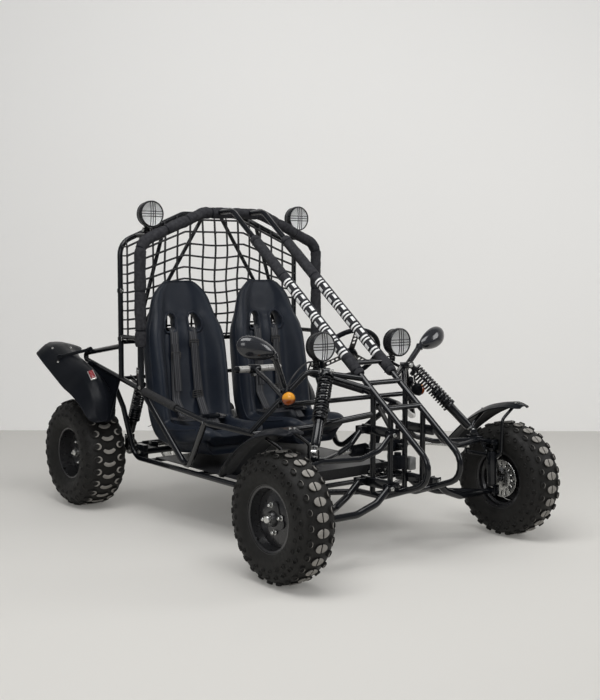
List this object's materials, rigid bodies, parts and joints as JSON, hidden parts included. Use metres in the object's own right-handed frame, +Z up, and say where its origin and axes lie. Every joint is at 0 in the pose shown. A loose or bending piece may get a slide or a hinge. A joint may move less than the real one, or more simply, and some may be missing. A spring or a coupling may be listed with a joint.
{
  "type": "off-road buggy",
  "caption": "Side-by-side off-road buggy: black tube frame and roll cage, bucket seats, coil suspension all round, steered front wheels, live rear axle, knobbly tyres, work lamps.",
  "frame": {"origin": "centre of the bounding box, on the floor under the tyres", "axes": "+Z up, the buggy faces -Y, +X is its left side"},
  "size_m": [1.506, 2.377, 1.579],
  "materials": {
    "frame_black": "gloss black powder coat",
    "foam_grey": "dark grey foam sleeve in cloth",
    "net_cord": "black nylon cord",
    "seat_vinyl": "satin blue-black vinyl",
    "tyre_rubber": "matte rubber with blocks",
    "rim_black": "satin black enamel",
    "plastic_black": "moulded black plastic",
    "bright_steel": "zinc plated steel",
    "cast_alloy": "cast aluminium",
    "dark_steel": "dark oiled steel",
    "floor_steel": "black checker plate",
    "lamp_black": "black lamp housing",
    "silver_tube": "plain silver tube"
  },
  "bodies": {
    "chassis": {"main_frame": "frame_black", "nose_frame": "frame_black", "side_frame_left": "frame_black", "side_frame_right": "frame_black", "main_hoop": "frame_black", "rear_hoop": "frame_black", "hoop_pad": "foam_grey", "pillar_pad_left": "foam_grey", "pillar_pad_right": "foam_grey", "rear_net": "net_cord", "seat_left": "seat_vinyl", "seat_right": "seat_vinyl", "rear_fender_left": "plastic_black", "rear_fender_right": "plastic_black", "floor_pan": "floor_steel", "grab_bar": "silver_tube", "rack_housing": "cast_alloy"},
    "rear_swing": {"swing_arm": "frame_black", "engine": "cast_alloy", "muffler": "dark_steel", "drive_chain": "dark_steel"},
    "rear_wheels": {"rear_axle": "dark_steel", "rear_tyre_left": "tyre_rubber", "rear_tyre_right": "tyre_rubber", "rear_rim_left": "rim_black", "rear_rim_right": "rim_black"},
    "front_wheel_left": {"front_tyre_left": "tyre_rubber", "front_rim_left": "rim_black"},
    "front_wheel_right": {"front_tyre_right": "tyre_rubber", "front_rim_right": "rim_black"},
    "steer_knuckle_left": {"knuckle_left": "frame_black", "front_fender_left": "plastic_black"},
    "steer_knuckle_right": {"knuckle_right": "frame_black", "front_fender_right": "plastic_black"},
    "upright_left": {"kingpin_left": "frame_black"},
    "upright_right": {"kingpin_right": "frame_black"},
    "wishbone_lower_left": {"lower_arm_left": "frame_black"},
    "wishbone_lower_right": {"lower_arm_right": "frame_black"},
    "wishbone_upper_left": {"upper_arm_left": "frame_black"},
    "wishbone_upper_right": {"upper_arm_right": "frame_black"},
    "wheel_and_column": {"steering_wheel": "plastic_black"},
    "rack": {"steering_rack": "bright_steel"},
    "track_rod_left": {"tie_rod_left": "bright_steel"},
    "track_rod_right": {"tie_rod_right": "bright_steel"},
    "front_coil_left": {"front_spring_left": "dark_steel"},
    "front_coil_right": {"front_spring_right": "dark_steel"},
    "front_strut_left": {"front_damper_left": "frame_black"},
    "front_strut_right": {"front_damper_right": "frame_black"},
    "rear_coil_left": {"rear_spring_left": "dark_steel"},
    "rear_coil_right": {"rear_spring_right": "dark_steel"},
    "rear_strut_left": {"rear_damper_left": "frame_black"},
    "rear_strut_right": {"rear_damper_right": "frame_black"},
    "lamp_roof_left": {"roof_lamp_left": "lamp_black"},
    "lamp_roof_right": {"roof_lamp_right": "lamp_black"},
    "lamp_front_left": {"front_lamp_left": "lamp_black"},
    "lamp_front_right": {"front_lamp_right": "lamp_black"},
    "mirror_arm_left": {"mirror_left": "plastic_black"},
    "mirror_arm_right": {"mirror_right": "plastic_black"},
    "pedal_brake": {"brake_pedal": "plastic_black"},
    "pedal_throttle": {"throttle_pedal": "plastic_black"}
  },
  "joints": [
    {"name": "left_bump", "type": "hinge", "parent": "chassis", "child": "wishbone_lower_left", "pos_m": [0.137, -0.9165, 0.325], "axis": [0, -1, 0], "range_deg": [-5, 12], "stiffness_Nm_per_rad": 2100, "springref_deg": -8.59},
    {"name": "left_upper_bump", "type": "hinge", "parent": "chassis", "child": "wishbone_upper_left", "pos_m": [0.127, -0.9165, 0.552], "axis": [0, -1, 0], "range_deg": [-5.2, 12.2]},
    {"name": "left_upright_level", "type": "hinge", "parent": "wishbone_lower_left", "child": "upright_left", "pos_m": [0.562, -0.9165, 0.217], "axis": [0, -1, 0], "range_deg": [-12.2, 5.2]},
    {"name": "left_kingpin", "type": "hinge", "parent": "upright_left", "child": "steer_knuckle_left", "pos_m": [0.562, -0.9165, 0.217], "axis": [-0.044, 0, 0.999], "range_deg": [-22, 22]},
    {"name": "left_front_spin", "type": "hinge", "parent": "steer_knuckle_left", "child": "front_wheel_left", "pos_m": [0.667, -0.9165, 0.267], "axis": [1, 0, 0], "continuous": true},
    {"name": "right_bump", "type": "hinge", "parent": "chassis", "child": "wishbone_lower_right", "pos_m": [-0.137, -0.9165, 0.325], "axis": [0, 1, 0], "range_deg": [-5, 12], "stiffness_Nm_per_rad": 2100, "springref_deg": -8.59},
    {"name": "right_upper_bump", "type": "hinge", "parent": "chassis", "child": "wishbone_upper_right", "pos_m": [-0.127, -0.9165, 0.552], "axis": [0, 1, 0], "range_deg": [-5.2, 12.2]},
    {"name": "right_upright_level", "type": "hinge", "parent": "wishbone_lower_right", "child": "upright_right", "pos_m": [-0.562, -0.9165, 0.217], "axis": [0, 1, 0], "range_deg": [-12.2, 5.2]},
    {"name": "right_kingpin", "type": "hinge", "parent": "upright_right", "child": "steer_knuckle_right", "pos_m": [-0.562, -0.9165, 0.217], "axis": [0.044, 0, 0.999], "range_deg": [-22, 22]},
    {"name": "right_front_spin", "type": "hinge", "parent": "steer_knuckle_right", "child": "front_wheel_right", "pos_m": [-0.667, -0.9165, 0.267], "axis": [1, 0, 0], "continuous": true},
    {"name": "steering", "type": "hinge", "parent": "chassis", "child": "wheel_and_column", "pos_m": [0.25, -0.2565, 0.83], "axis": [0.2027, 0.7814, 0.5901], "range_deg": [-120, 120]},
    {"name": "rack_slide", "type": "slide", "parent": "chassis", "child": "rack", "axis": [1, 0, 0], "range_m": [-0.0425, 0.0425]},
    {"name": "left_track_rod_swing", "type": "hinge", "parent": "rack", "child": "track_rod_left", "pos_m": [0.222, -0.7465, 0.455], "axis": [0, -1, 0], "range_deg": [-8, 18]},
    {"name": "right_track_rod_swing", "type": "hinge", "parent": "rack", "child": "track_rod_right", "pos_m": [-0.222, -0.7465, 0.455], "axis": [0, 1, 0], "range_deg": [-8, 18]},
    {"name": "left_coil_swing", "type": "hinge", "parent": "chassis", "child": "front_coil_left", "pos_m": [0.249, -0.6885, 0.806], "axis": [-0.6244, -0.7806, 0.0286], "range_deg": [-4, 8.5]},
    {"name": "left_strut_slide", "type": "slide", "parent": "front_coil_left", "child": "front_strut_left", "axis": [0.5241, -0.4458, -0.7257], "range_m": [-0.05, 0.022]},
    {"name": "right_coil_swing", "type": "hinge", "parent": "chassis", "child": "front_coil_right", "pos_m": [-0.249, -0.6885, 0.806], "axis": [-0.6244, 0.7806, -0.0286], "range_deg": [-4, 8.5]},
    {"name": "right_strut_slide", "type": "slide", "parent": "front_coil_right", "child": "front_strut_right", "axis": [-0.5241, -0.4458, -0.7257], "range_m": [-0.05, 0.022]},
    {"name": "swing_bump", "type": "hinge", "parent": "chassis", "child": "rear_swing", "pos_m": [0, 0.5835, 0.3], "axis": [1, 0, 0], "range_deg": [-4, 8], "stiffness_Nm_per_rad": 2200, "springref_deg": -14.32},
    {"name": "rear_axle_spin", "type": "hinge", "parent": "rear_swing", "child": "rear_wheels", "pos_m": [0, 0.8835, 0.279], "axis": [1, 0, 0], "continuous": true},
    {"name": "left_rear_coil_swing", "type": "hinge", "parent": "chassis", "child": "rear_coil_left", "pos_m": [0.405, 0.6435, 0.64], "axis": [1, 0, 0], "range_deg": [-1, 1]},
    {"name": "left_rear_strut_slide", "type": "slide", "parent": "rear_coil_left", "child": "rear_strut_left", "axis": [0, 0.4114, -0.9114], "range_m": [-0.03, 0.015]},
    {"name": "right_rear_coil_swing", "type": "hinge", "parent": "chassis", "child": "rear_coil_right", "pos_m": [-0.405, 0.6435, 0.64], "axis": [1, 0, 0], "range_deg": [-1, 1]},
    {"name": "right_rear_strut_slide", "type": "slide", "parent": "rear_coil_right", "child": "rear_strut_right", "axis": [0, 0.4114, -0.9114], "range_m": [-0.03, 0.015]},
    {"name": "brake_pedal_travel", "type": "hinge", "parent": "chassis", "child": "pedal_brake", "pos_m": [0.148, -0.5535, 0.303], "axis": [1, 0, 0], "range_deg": [0, 18], "stiffness_Nm_per_rad": 6, "springref_deg": -5.73},
    {"name": "throttle_pedal_travel", "type": "hinge", "parent": "chassis", "child": "pedal_throttle", "pos_m": [0.248, -0.5535, 0.303], "axis": [1, 0, 0], "range_deg": [0, 18], "stiffness_Nm_per_rad": 3, "springref_deg": -5.73},
    {"name": "left_roof_lamp_tilt", "type": "hinge", "parent": "chassis", "child": "lamp_roof_left", "pos_m": [0.46, 0.4835, 1.436], "axis": [1, 0, 0], "range_deg": [-25, 3]},
    {"name": "right_roof_lamp_tilt", "type": "hinge", "parent": "chassis", "child": "lamp_roof_right", "pos_m": [-0.46, 0.4835, 1.436], "axis": [1, 0, 0], "range_deg": [-25, 3]},
    {"name": "left_front_lamp_tilt", "type": "hinge", "parent": "chassis", "child": "lamp_front_left", "pos_m": [0.228, -0.5785, 0.83], "axis": [1, 0, 0], "range_deg": [-15, 10]},
    {"name": "right_front_lamp_tilt", "type": "hinge", "parent": "chassis", "child": "lamp_front_right", "pos_m": [-0.228, -0.5785, 0.83], "axis": [1, 0, 0], "range_deg": [-15, 10]},
    {"name": "left_mirror_swivel", "type": "hinge", "parent": "chassis", "child": "mirror_arm_left", "pos_m": [0.352, -0.5345, 0.719], "axis": [0, 1, 0], "range_deg": [-15, 15]},
    {"name": "right_mirror_swivel", "type": "hinge", "parent": "chassis", "child": "mirror_arm_right", "pos_m": [-0.352, -0.5345, 0.719], "axis": [0, 1, 0], "range_deg": [-15, 15]}
  ],
  "couplings": [
    {"joint": "left_upper_bump", "follows": "left_bump", "ratio": 1},
    {"joint": "left_upright_level", "follows": "left_bump", "ratio": -1},
    {"joint": "left_track_rod_swing", "follows": "left_bump", "ratio": 1.46},
    {"joint": "left_coil_swing", "follows": "left_bump", "ratio": 0.655},
    {"joint": "left_strut_slide", "follows": "left_bump", "m_per_rad": -0.224},
    {"joint": "right_upper_bump", "follows": "right_bump", "ratio": 1},
    {"joint": "right_upright_level", "follows": "right_bump", "ratio": -1},
    {"joint": "right_track_rod_swing", "follows": "right_bump", "ratio": 1.46},
    {"joint": "right_coil_swing", "follows": "right_bump", "ratio": 0.655},
    {"joint": "right_strut_slide", "follows": "right_bump", "m_per_rad": -0.224},
    {"joint": "rack_slide", "follows": "steering", "m_per_rad": -0.02005},
    {"joint": "left_kingpin", "follows": "steering", "ratio": 0.18},
    {"joint": "right_kingpin", "follows": "steering", "ratio": 0.18},
    {"joint": "left_rear_coil_swing", "follows": "swing_bump", "ratio": 0.085},
    {"joint": "left_rear_strut_slide", "follows": "swing_bump", "m_per_rad": -0.195},
    {"joint": "right_rear_coil_swing", "follows": "swing_bump", "ratio": 0.085},
    {"joint": "right_rear_strut_slide", "follows": "swing_bump", "m_per_rad": -0.195}
  ]
}
